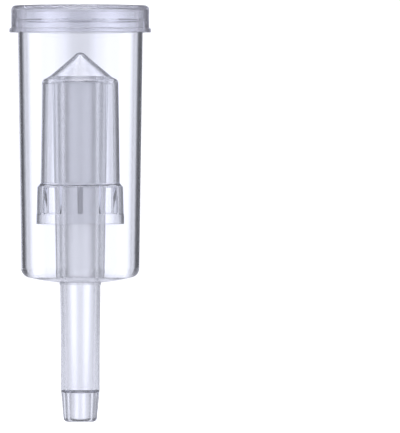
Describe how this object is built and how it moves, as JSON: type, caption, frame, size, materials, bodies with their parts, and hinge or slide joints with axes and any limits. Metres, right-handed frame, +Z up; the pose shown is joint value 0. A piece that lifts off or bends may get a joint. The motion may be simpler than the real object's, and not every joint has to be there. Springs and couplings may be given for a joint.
{
  "type": "fermentation airlock",
  "caption": "Clear fermentation airlock: a cup with a riser tube inside and a hollow push-in stem below, a bell that floats over the riser and a vented snap-fit lid.",
  "frame": {"origin": "centre of the stem's tip, the lowest point of the airlock", "axes": "+Z up along the axis that every piece is round about; X and Y are alike"},
  "size_m": [0.0408, 0.0408, 0.12],
  "materials": {
    "clear_plastic": "clear, glossy outside, with a finely matt bore",
    "frosted_plastic": "milky translucent, satin"
  },
  "bodies": {
    "chamber": {"chamber_body": "clear_plastic"},
    "bell": {"bell": "clear_plastic"},
    "lid": {"lid": "frosted_plastic"}
  },
  "joints": [
    {"name": "bell_float", "type": "slide", "parent": "chamber", "child": "bell", "axis": [0, 0, 1], "range_m": [0, 0.0123]},
    {"name": "lid_lift", "type": "slide", "parent": "chamber", "child": "lid", "axis": [0, 0, 1], "range_m": [0, 0.03]}
  ]
}
